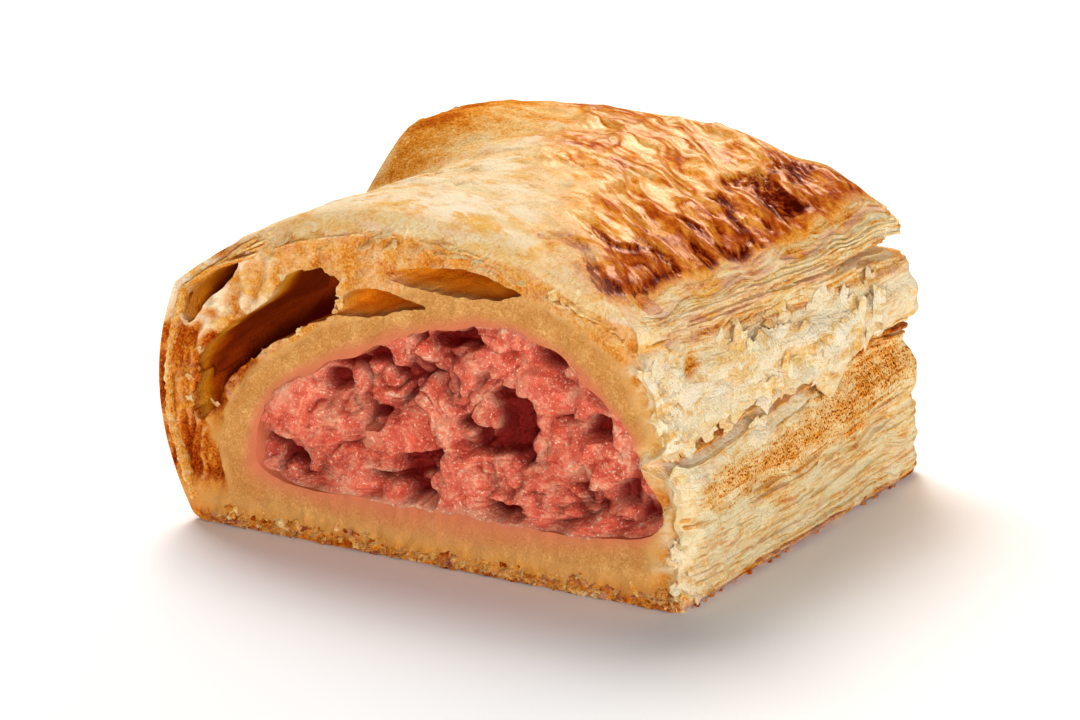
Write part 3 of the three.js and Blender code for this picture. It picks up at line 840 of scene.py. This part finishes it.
def wall_spots(rng, count, runs, rises):
    """Spots on the layered walls between two runs along them and two shares of their height."""
    at = outline(SHEET_COLUMNS)
    run = rng.uniform(*runs, count)
    known = {name: np.interp(run, at.run, getattr(at, name)) for name in ("x", "y", "sealed", "fold")}
    out = stack(*[np.interp(run, at.run, at.out[:, axis]) for axis in (0, 1)])
    here = SimpleNamespace(run=run, out=out, **known)
    edge_z = wall_edge(here)
    z = rng.uniform(*rises, count) * edge_z
    outset = wall_outset(here, z, edge_z) + sealed_relief(here, z, edge_z)[0]
    middles = stack(*pushed_out(here, outset), z)
    zone = wall_zones(here)
    clear = np.abs(z - zone.band) > zone.half + 0.8
    clear &= np.abs(z - zone.crevice + 1) > 1.4
    clear &= np.abs(z - zone.lid) > 2.0
    clear &= np.hypot(run - PIT_RUN, 1.6 * (z - PIT_Z)) > 4.2
    outs = stack(out[:, 0], out[:, 1], 0 * run)
    return middles[clear], outs[clear], np.tile(DOWN + [0, 0.4, 0], (clear.sum(), 1))


def cut_spots(rng, x, z, towards=None):
    """Spots on the cut face, where petals hang towards a point or straight down."""
    middles = stack(x, CUT_Y - 0.1 * rng.random(len(x)), z)
    ways = np.tile(DOWN, (len(x), 1)) if towards is None else stack(towards[0] - x, 0 * x, towards[1] - z)
    return middles, np.tile(OUT_OF_CUT, (len(x), 1)), ways


def build_petals():
    rng = np.random.default_rng(5)
    pile = Pile()
    for kind, count, runs, rises in WALL_PETALS:
        add_petals(pile, rng, kind, wall_spots(rng, count, runs, rises))
    rim, middle, *_ = POCKETS[0]
    rim = closed_spline(rim, RIM_STEPS)
    rim = rim[rng.integers(0, len(rim), POCKET_PETALS)]
    x, z = (rim + (rim - middle) * POCKET_MARGIN).T
    add_petals(pile, rng, POCKET_PETAL, cut_spots(rng, x, z, middle))
    x = rng.uniform(*ROOF_X, ROOF_PETALS)
    z = top_height(x, CUT_Y) - rng.uniform(ROLL_HEIGHT - 0.3, ROLL_HEIGHT + 1.5, ROOF_PETALS)
    add_petals(pile, rng, ROOF_PETAL, cut_spots(rng, x, z, HAM_CENTRE))
    x = rng.uniform(*FOOT_X, FOOT_PETALS)
    z = rng.uniform(0.3, 1.0, FOOT_PETALS) * rng.uniform(0.5, 2.6, FOOT_PETALS)
    add_petals(pile, rng, FOOT_PETAL, cut_spots(rng, x, z))
    return pile.build("petals")


# Sheets of the cut edge

def arch_path(count):
    """The outer outline of the cut face from the fold side's foot over the arch, and its inward normals."""
    wall_x, wall_z = fold_side_of_cut(np.linspace(0.06, 1, 80))
    roof_x = np.linspace(wall_x[-1], 29.0, 200)[1:]
    path = np.concatenate([stack(wall_x, wall_z), stack(roof_x, top_height(roof_x, CUT_Y))])
    length = np.concatenate([[0], np.cumsum(np.linalg.norm(np.diff(path, axis=0), axis=1))])
    even = np.linspace(0, length[-1], count)
    path = stack(np.interp(even, length, path[:, 0]), np.interp(even, length, path[:, 1]))
    soft = np.array([np.convolve(np.pad(c, 5, "edge"), np.ones(11) / 11, "valid") for c in path.T]).T
    tangent = np.gradient(soft, axis=0)
    tangent /= np.linalg.norm(tangent, axis=1, keepdims=True)
    return soft, stack(tangent[:, 1], -tangent[:, 0]), even


ARCH_DEPTHS = (0.6, 1.2, 1.9, 2.7, 3.5)
# A leaf in section: across it in half thicknesses, how far its front tapers, its tint
LEAF_ACROSS = np.array([-1, -1, -0.4, 0.4, 1, 1])
LEAF_TAPER = 0.8
LEAF_TINTS = np.array([0.1, 0.1, 0, 0, 0.1, 0.1])


def build_arch_sheets():
    """Torn leaves of the cut edge, merged in places, with frayed fronts."""
    path, inward, run = arch_path(ARCH_COLUMNS)
    left = smoothstep(-path[:, 0], 18, 30)
    share = unit((path[:, 0] - FOLD_X_CUT) / (SEAM_X - FOLD_X_CUT))
    pile = Pile()
    for k, depth in enumerate(ARCH_DEPTHS):
        tone = random_of(np.array([[k]]), 15)[0]
        level = depth * lerp(0.8, 1.15, left)
        level = level + 0.75 * fractal(stack(run / 7, 5.1 * k), 3, 16) * smoothstep(depth, 0, 2)
        thick = 0.22 + 0.16 * tone + 0.1 * fractal(stack(run / 2, 4.3 * k), 2, 20)
        level = lerp(np.maximum(level, thick + 0.15), thick + 0.8 + 0.05 * k, left)
        wide = fractal(stack(run / 4, 5.1 * k), 3, 17)
        frayed = fractal(stack(run / 0.7, 5.1 * k), 3, 18)
        broken = smoothstep(noise(stack(run / 3.5, 3.1 * k), 19), 0.15, 0.5)
        in_lip = unit(1 - level / LIP_HEIGHT) * smoothstep(run, 20, 30)
        face = CUT_Y + LIP_SET_BACK * in_lip**2 * (1 - (2 * share - 1) ** 2)
        rolled = smoothstep(path[:, 0], *ROLL_START_X) * (depth < ROLL_HEIGHT)
        front = face - 0.15 + 0.8 * wide + 0.5 * frayed + 1.5 * broken + 3.0 * rolled
        back = face + lerp(3.5, 1.3, left) + 3.0 * rolled
        y = stack(back, front + LEAF_TAPER, front, front, front + LEAF_TAPER, back)
        across = level[:, None] + thick[:, None] * LEAF_ACROSS
        points = path[:, None] + inward[:, None] * across[..., None]
        bake = (0.28 + 0.14 * tone + 0.14 * wide)[:, None] + LEAF_TINTS
        white = unit(0.05 + 0.2 * tone + 0.5 * frayed - 0.3 * left)[:, None]
        pile.add_tube(stack(points[..., 0], y, points[..., 1]), bake=bake, white=white)
    return pile.build("arch_sheets")


# Crumbs along the foot: start and stop of their line, the way out, count, smallest and largest size
CRUMB_LINES = [
    ((-30, -29.6), (35, -29.6), (0, -1), 150, 0.25, 0.8),
    ((35.4, -29), (35.4, 27), (1, 0), 50, 0.2, 0.6),
]
CRUMB_BAKE, LOOSE_SHARE = 0.55, 0.4


def add_crumb(pile, rng, ball, middle, size):
    verts, faces = ball
    shape = 1 + 0.5 * noise(verts * 1.6 + 50 * rng.random(3), 401)
    verts = middle + verts * shape[:, None] * size / 2 * rng.uniform(0.6, 1.3, 3)
    verts[:, 2] = np.maximum(verts[:, 2], FLOOR_GAP)
    pile.add(verts, faces, bake=CRUMB_BAKE + rng.normal() * 0.1, white=0.0)


def build_crumbs():
    mesh = bmesh.new()
    bmesh.ops.create_icosphere(mesh, subdivisions=2, radius=1)
    ball = np.array([v.co for v in mesh.verts]), [[v.index for v in f.verts] for f in mesh.faces]
    mesh.free()
    rng = np.random.default_rng(7)
    pile = Pile()
    for start, stop, out, count, small, large in CRUMB_LINES:
        for loose in rng.random(count) < LOOSE_SHARE:
            size = small + (large - small) * rng.random() ** 2
            flat = lerp(np.array(start), np.array(stop), rng.random())
            flat = flat + np.array(out) * (0.2 * rng.random() if loose else -0.1)
            height = 0.45 * size if loose else 0.9 + 0.5 * abs(rng.normal())
            add_crumb(pile, rng, ball, np.append(flat, height), size)
    return pile.build("crumbs")


# Ham

# Lumps of the chopped ham: size, seed, how domed they are, how far they step in and out
HAM_LUMPS = [((7.5, 5.5), 211, 3.0, 2.6), ((3.4, 2.6), 221, 1.5, 1.2), ((1.4, 1.2), 231, 0.7, 0.4)]
# How proud the lumps start, and how far out of the cut they may stand
HAM_PROUD, HAM_STAND = 1.0, 0.3
# How far the rim presses into the crust, how much steep lumps lean, and the step that measures their slope
HAM_PRESS, HAM_LEAN, SLOPE_STEP = 0.4, 0.1, 0.3


def ham_rim(turn):
    """Uneven rim of the filling by angle, which its hollow in the crust shares."""
    round_the_rim = stack(4 * np.cos(turn), 4 * np.sin(turn))
    return ham_reach(turn) + 1.2 * fractal(round_the_rim, 4, 91)


def ham_recess(x, z):
    """How far the crags of the cut ham lie behind the cut: domed lumps, with caves between some of them."""
    at = stack(x, z)
    coarse = stack(noise(at / 5, 201), noise(at / 5, 202))
    fine = stack(noise(at / 1.5, 203), noise(at / 1.5, 204))
    at = at + 2.0 * coarse + 0.6 * fine
    recess = -HAM_PROUD
    for size, seed, dome, step in HAM_LUMPS:
        offset, seam, tags = chunks(at / np.array(size) + seed, seed)
        inside = smoothstep(seam, 0, 0.25)
        tilt = ((tags[..., :2] - 0.5) * offset).sum(-1)
        recess = recess + dome * (offset**2).sum(-1) + step * inside * (tags[..., 2] - 0.3 + 1.6 * tilt)
    caves = smoothstep(patchy(x, z, 6, 4, 2, 214), 0.15, 0.45)
    return recess + 3.0 * caves + 0.3 * fractal(at / 0.9, 2, 232)


def build_ham():
    turn = -np.linspace(0, FULL_TURN, HAM_COLUMNS, endpoint=False)
    reach = ham_rim(turn) + HAM_PRESS
    inward = (np.arange(1, HAM_FACE_ROWS + 1) / HAM_FACE_ROWS)[:, None]
    centre_x, centre_z = HAM_CENTRE
    x = centre_x + reach * np.cos(turn) * inward
    z = centre_z + reach * np.sin(turn) * inward
    from_rim = (1 - inward) * reach
    low = smoothstep(-np.sin(turn), 0.2, 0.7)
    held = (1 - smoothstep(from_rim, 0.3, 2.2)) * lerp(0.35, 1, low)
    recess = lerp(ham_recess(x, z), lerp(0.35, -0.05, low), held)
    slope_x = (ham_recess(x + SLOPE_STEP, z) - ham_recess(x - SLOPE_STEP, z)) / (2 * SLOPE_STEP)
    slope_z = (ham_recess(x, z + SLOPE_STEP) - ham_recess(x, z - SLOPE_STEP)) / (2 * SLOPE_STEP)
    lean = smoothstep(from_rim, 0.5, 2.5) * HAM_LEAN
    face_y = CUT_Y + np.maximum(recess, -HAM_STAND)
    face = stack(x + lean * np.tanh(slope_x), face_y, z + lean * np.tanh(slope_z))
    along = np.linspace(0, 1, HAM_SIDE_ROWS + 1)[1:, None]
    y = lerp(face[-1, :, 1], HAM_END_Y, along)
    scale = lerp(1, HAM_END_SCALE, np.maximum(0, (y - CUT_Y) / (HAM_END_Y - CUT_Y)))
    side = stack(centre_x + (x[-1] - centre_x) * scale, y, centre_z + (z[-1] - centre_z) * scale)
    # Painted shade: deep red in the ham's crevices and caves, with a fixed share of it on the sides
    deep = np.concatenate([smoothstep(recess, 0.9, 3.4), np.full(side.shape[:2], 0.4)])
    pale = smoothstep(patchy(x, z, 3.5, 3.5, 3, 251), 0.15, 0.5) * 0.6
    uneven = from_rim + 0.6 * noise(stack(x / 1.5, z / 1.5), 252)
    rim = (1 - smoothstep(uneven, 0.2, 1.6)) * lerp(0.35, 0.9, low)
    pale = np.concatenate([np.maximum(pale, rim), np.zeros(side.shape[:2])])
    pile = Pile()
    pile.add_tube(np.concatenate([face, side]), deep=deep, pale=pale)
    return pile.build("ham")


# Materials

# Colours as a screen shows them, 0 to 255; the scales go from a value to a colour
CRUST_SCALE = [
    (0.0, (250, 228, 180)), (0.2, (246, 206, 138)), (0.42, (232, 150, 48)),
    (0.6, (190, 86, 16)), (0.78, (128, 36, 8)), (0.95, (76, 12, 2)),
]
CRUMB_SCALE = [(0.3, (178, 112, 54)), (0.5, (200, 140, 74)), (0.7, (228, 178, 112))]
# Pocket insides: golden near the rim, then painted shade that darkens further in
POCKET_TINT_AND_SHADE_SCALE = [(0.0, (246, 176, 68)), (0.4, (252, 156, 26)), (0.7, (194, 80, 14)), (1.0, (150, 50, 10))]
FLAKE_GOLD, FLAKE_CREAM, DOUGH_PINK = (240, 174, 66), (255, 240, 212), (208, 118, 82)
HAM_SCALE = [(0.3, (214, 76, 52)), (0.5, (236, 112, 84)), (0.7, (255, 182, 146))]
# The deep red is painted shade for the ham's crevices and caves
HAM_PALE, HAM_RECESS_SHADE, HAM_GLINT = (234, 158, 122), (126, 8, 3), (255, 214, 186)
FLOOR_WHITE = (248, 247, 245)
WRINKLE_TURN = (0, 0, -0.56)


def srgb(*colour):
    """A linear colour with full alpha from the screen's 0 to 255 values."""
    return *(((c / 255 + 0.055) / 1.055) ** 2.4 if c > 10 else c / 255 / 12.92 for c in colour), 1


class Nodes:
    """Short ways to add shader nodes to one material."""

    def __init__(self, name):
        self.material = bpy.data.materials.new(name)
        self.material.use_nodes = True
        self.tree = self.material.node_tree
        self.shader = self.tree.nodes["Principled BSDF"]
        self.place = self.add("TexCoord").outputs["Object"]

    def add(self, kind, **settings):
        node = self.tree.nodes.new("ShaderNode" + kind)
        for name, value in settings.items():
            setattr(node, name, value)
        return node

    def put(self, socket, value):
        if isinstance(value, bpy.types.NodeSocket):
            self.tree.links.new(value, socket)
        else:
            socket.default_value = value

    def feed(self, node, **values):
        """Puts values into inputs of a node, with an underscore for each space in their names."""
        for name, value in values.items():
            self.put(node.inputs[name.replace("_", " ")], value)

    def mask(self, name):
        return self.add("Attribute", attribute_name=name).outputs["Fac"]

    def in_turn(self, kind, operation, *values):
        """A maths node with values in its inputs from first to last."""
        node = self.add(kind, operation=operation)
        for socket, value in zip(node.inputs, values):
            self.put(socket, value)
        return node.outputs[0]

    def maths(self, operation, *values):
        return self.in_turn("Math", operation, *values)

    def plus(self, total, *values):
        for value in values:
            total = self.maths("ADD", total, value)
        return total

    def minus(self, a, b):
        return self.maths("SUBTRACT", a, b)

    def times(self, a, b):
        return self.maths("MULTIPLY", a, b)

    def warped(self, size, amount):
        """The place pushed about by smooth noise, by an amount in millimetres."""
        drift = self.add("TexNoise")
        self.feed(drift, Vector=self.place, Scale=1 / (size * MM), Detail=1)
        push = (2 * amount * MM,) * 3
        return self.in_turn("VectorMath", "MULTIPLY_ADD", drift.outputs["Color"], push, self.place)

    def noise(self, size, detail=4.0, rough=0.55, stretch=(1, 1, 1), turn=(0, 0, 0), place=None):
        """Noise from 0 to 1 with features of about a size in millimetres."""
        mapping = self.add("Mapping", vector_type="TEXTURE")
        self.feed(mapping, Vector=place or self.place, Scale=stretch, Rotation=turn)
        node = self.add("TexNoise")
        self.feed(node, Vector=mapping.outputs[0], Scale=1 / (size * MM), Detail=detail, Roughness=rough)
        return node.outputs["Fac"]

    def swing(self, value, amount):
        """A 0 to 1 value turned into a swing of plus or minus an amount about zero."""
        return self.times(self.minus(value, 0.5), 2 * amount)

    def soft(self, value, low, high):
        """0 below a low value, 1 above a high one, eased between them."""
        node = self.add("MapRange", interpolation_type="SMOOTHSTEP")
        self.feed(node, Value=value, From_Min=low, From_Max=high)
        return node.outputs["Result"]

    def scale(self, value, stops):
        """A colour from a value, eased between the stops of a colour scale."""
        node = self.add("ValToRGB")
        self.feed(node, Fac=value)
        elements = node.color_ramp.elements
        while len(elements) < len(stops):
            elements.new(0.5)
        for element, (place, colour) in zip(elements, stops):
            element.position = place
            element.color = srgb(*colour)
        return node.outputs["Color"]

    def mix(self, share, a, b):
        node = self.add("Mix", data_type="RGBA")
        a, b = (c if isinstance(c, bpy.types.NodeSocket) else srgb(*c) for c in (a, b))
        self.feed(node, Factor=share, A=a, B=b)
        return node.outputs["Result"]

    def bump(self, height, distance, strength=1.0, under=None):
        node = self.add("Bump")
        self.feed(node, Height=height, Distance=distance * MM, Strength=strength)
        if under is not None:
            self.feed(node, Normal=under)
        return node.outputs["Normal"]


def pastry_material():
    n = Nodes("baked_pastry")
    patch = n.noise(3.2, 5)
    grain = n.noise(0.5, 5, 0.7)
    speck = n.noise(0.28, 2, 0.6)
    fleck = n.noise(0.6, 5, 0.65, (4, 1, 1.5), WRINKLE_TURN, n.warped(5, 1.2))
    crease = n.noise(3.6, 2, 0.45, (5, 1, 1.5), WRINKLE_TURN, n.warped(6, 1.5))
    lines = n.noise(0.45, 3, 0.6, (14, 14, 1), place=n.warped(9, 1.6))
    streak = n.noise(1.5, 5, 0.6, (4, 4, 1), place=n.warped(6, 2.0))
    gloss, layered, char, dough = (n.mask(name) for name in ("gloss", "layered", "char", "dough"))

    # Browning, and the colour of the crust from it
    coarse = n.plus(n.swing(grain, 0.28), n.swing(speck, 0.26))
    swell = n.maths("ABSOLUTE", n.swing(crease, 1.0))
    # Crease lines of the glaze: darker, partly from glaze pooling and browning there, partly painted shade
    # in the creases
    valley = n.minus(1.0, n.soft(swell, 0.0, 0.14))
    burnt = n.times(char, n.soft(fleck, 0.42, 0.54))
    bake = n.plus(
        n.mask("bake"),
        n.swing(patch, 0.24),
        n.times(coarse, n.minus(1.0, n.times(gloss, 0.65))),
        n.times(n.swing(lines, 0.8), layered),
        n.times(n.mask("speckle"), n.soft(speck, 0.52, 0.66)),
        n.times(gloss, n.swing(fleck, 0.32)),
        n.times(gloss, n.times(valley, 0.12)),
        n.times(burnt, 0.16),
    )
    thin = n.soft(n.plus(streak, n.swing(speck, 0.16), n.swing(fleck, 0.2)), 0.34, 0.54)
    flake = n.mix(thin, FLAKE_GOLD, FLAKE_CREAM)
    flaky = n.mix(n.times(n.mask("white"), 0.8), n.scale(bake, CRUST_SCALE), flake)

    # Dough of the cut face, and the pockets in it, which darken inwards with painted shade
    crumb = n.plus(n.swing(speck, 0.28), n.swing(grain, 0.2), n.swing(patch, 0.24), 0.5)
    soft_dough = n.mix(n.mask("pink"), n.scale(crumb, CRUMB_SCALE), DOUGH_PINK)
    inside = n.scale(n.plus(n.mask("depth"), n.swing(patch, 0.1)), POCKET_TINT_AND_SHADE_SCALE)
    colour = n.mix(n.mask("hollow"), n.mix(dough, flaky, soft_dough), inside)

    # Fine relief, and the gloss of the glaze
    dull = n.maths("MAXIMUM", burnt, valley)
    glaze = n.times(gloss, n.minus(0.8, n.times(dull, 0.75)))
    wrinkled = n.bump(n.times(swell, gloss), 1.0)
    wrinkled = n.bump(n.times(fleck, gloss), 0.12, 1.0, wrinkled)
    matt = n.minus(1.0, n.times(n.maths("MAXIMUM", gloss, dough), 0.6))
    crinkle = n.plus(gloss, n.times(char, 1.5))
    relief = n.bump(n.times(fleck, crinkle), 0.5, 0.8, wrinkled)
    relief = n.bump(n.times(lines, layered), 1.0, 0.9, relief)
    relief = n.bump(n.times(grain, matt), 0.5, 0.8, relief)
    relief = n.bump(n.times(speck, matt), 0.26, 0.9, relief)
    n.feed(
        n.shader, Base_Color=colour, Roughness=0.7, Normal=relief, Specular_IOR_Level=0.0,
        Subsurface_Weight=0.15, Subsurface_Scale=0.0012, Subsurface_Radius=(1.0, 0.5, 0.2),
        Coat_Weight=glaze, Coat_Roughness=0.09, Coat_Normal=wrinkled,
    )
    return n.material


def ham_material():
    n = Nodes("cooked_ham")
    meat = n.noise(2.2, 6, 0.6)
    grain = n.noise(0.45, 4, 0.7)
    glint = n.noise(0.3, 1, 0.5)
    deep = n.mask("deep")
    colour = n.scale(n.plus(meat, n.swing(grain, 0.3)), HAM_SCALE)
    colour = n.mix(n.times(n.mask("pale"), 0.7), colour, HAM_PALE)
    # Painted shade: deep red where the ham lies far back in crevices and caves
    colour = n.mix(deep, colour, HAM_RECESS_SHADE)
    colour = n.mix(n.times(n.soft(glint, 0.6, 0.74), n.minus(1.0, deep)), colour, HAM_GLINT)
    relief = n.bump(grain, 0.45, 1.0, n.bump(meat, 0.9, 0.7))
    n.feed(
        n.shader, Base_Color=colour, Roughness=0.38, Normal=relief,
        Specular_IOR_Level=0.35, Specular_Tint=(1.0, 0.86, 0.76, 1),
        Subsurface_Weight=0.4, Subsurface_Scale=0.002, Subsurface_Radius=(1.0, 0.3, 0.2),
    )
    return n.material


def floor_material():
    n = Nodes("pale_floor")
    n.feed(n.shader, Base_Color=srgb(*FLOOR_WHITE), Roughness=0.9, Specular_IOR_Level=0.1)
    return n.material


# Studio

CAMERA_TARGET = Vector((-0.06, -1.35, 16.84)) * MM
CAMERA_DISTANCE = 0.72
CAMERA_AZIMUTH, CAMERA_ELEVATION = math.radians(30.4), math.radians(17.5)
CAMERA_LENS, SENSOR_WIDTH = 201.3, 36
FLOOR_HALF = 4.0
WORLD_STRENGTH = 0.07
WHITE, WARM = (1, 1, 1), (1.0, 0.68, 0.5)
# Soft lights: name, azimuth, elevation, distance, size, power, colour, and whether they shine on glossy skin
SOFTBOXES = [
    ("back", 230, 50, 0.9, 0.5, 9.6, WHITE, False),
    ("overhead", 100, 55, 0.9, 0.4, 0.4, WHITE, True),
    ("sheen", 203, 29, 0.9, 0.45, 4.0, WARM, True),
    ("right", 80, 12, 0.9, 0.25, 3.3, WHITE, True),
    ("front", 26, 6, 1.0, 0.2, 6.8, WHITE, True),
]


def direction(azimuth, elevation):
    """Away from the object, with azimuth 0 out of the cut face and 90 out of the seam side."""
    flat = math.cos(elevation)
    return Vector((math.sin(azimuth) * flat, -math.cos(azimuth) * flat, math.sin(elevation)))


def aim(obj, back, distance):
    """Puts an object at a distance from the pastry, turned towards it."""
    obj.location = CAMERA_TARGET + back * distance
    obj.rotation_mode = "QUATERNION"
    obj.rotation_quaternion = (-back).to_track_quat("-Z", "Y")
    bpy.context.scene.collection.objects.link(obj)


def add_camera():
    data = bpy.data.cameras.new("camera")
    data.lens = CAMERA_LENS
    data.sensor_width = SENSOR_WIDTH
    camera = bpy.data.objects.new("camera", data)
    aim(camera, direction(CAMERA_AZIMUTH, CAMERA_ELEVATION), CAMERA_DISTANCE)
    bpy.context.scene.camera = camera


def add_softbox(name, azimuth, elevation, distance, size, power, colour, shines):
    data = bpy.data.lights.new(name, "AREA")
    data.color = colour
    data.size = size
    data.energy = power
    light = bpy.data.objects.new(name, data)
    light.visible_glossy = shines
    aim(light, direction(math.radians(azimuth), math.radians(elevation)), distance)


def add_studio():
    corners = FLOOR_HALF / MM * np.array([(-1, -1, 0), (1, -1, 0), (1, 1, 0), (-1, 1, 0)])
    floor = new_object("floor", corners, [[0, 1, 2, 3]])
    floor.data.materials.append(floor_material())
    for softbox in SOFTBOXES:
        add_softbox(*softbox)
    world = bpy.data.worlds.new("studio")
    world.use_nodes = True
    background = world.node_tree.nodes["Background"]
    background.inputs["Color"].default_value = (1, 1, 1, 1)
    background.inputs["Strength"].default_value = WORLD_STRENGTH
    bpy.context.scene.world = world
    bpy.context.scene.view_settings.view_transform = "Standard"


pastry = pastry_material()
dress(build_crust(), pastry, "pastry", "pastry_crust")
for piece in (build_wall_sheets(), build_flakes(), build_petals(), build_arch_sheets(), build_crumbs()):
    dress(piece, pastry, "pastry")
dress(build_ham(), ham_material(), "ham", "ham_filling")
add_studio()
add_camera()
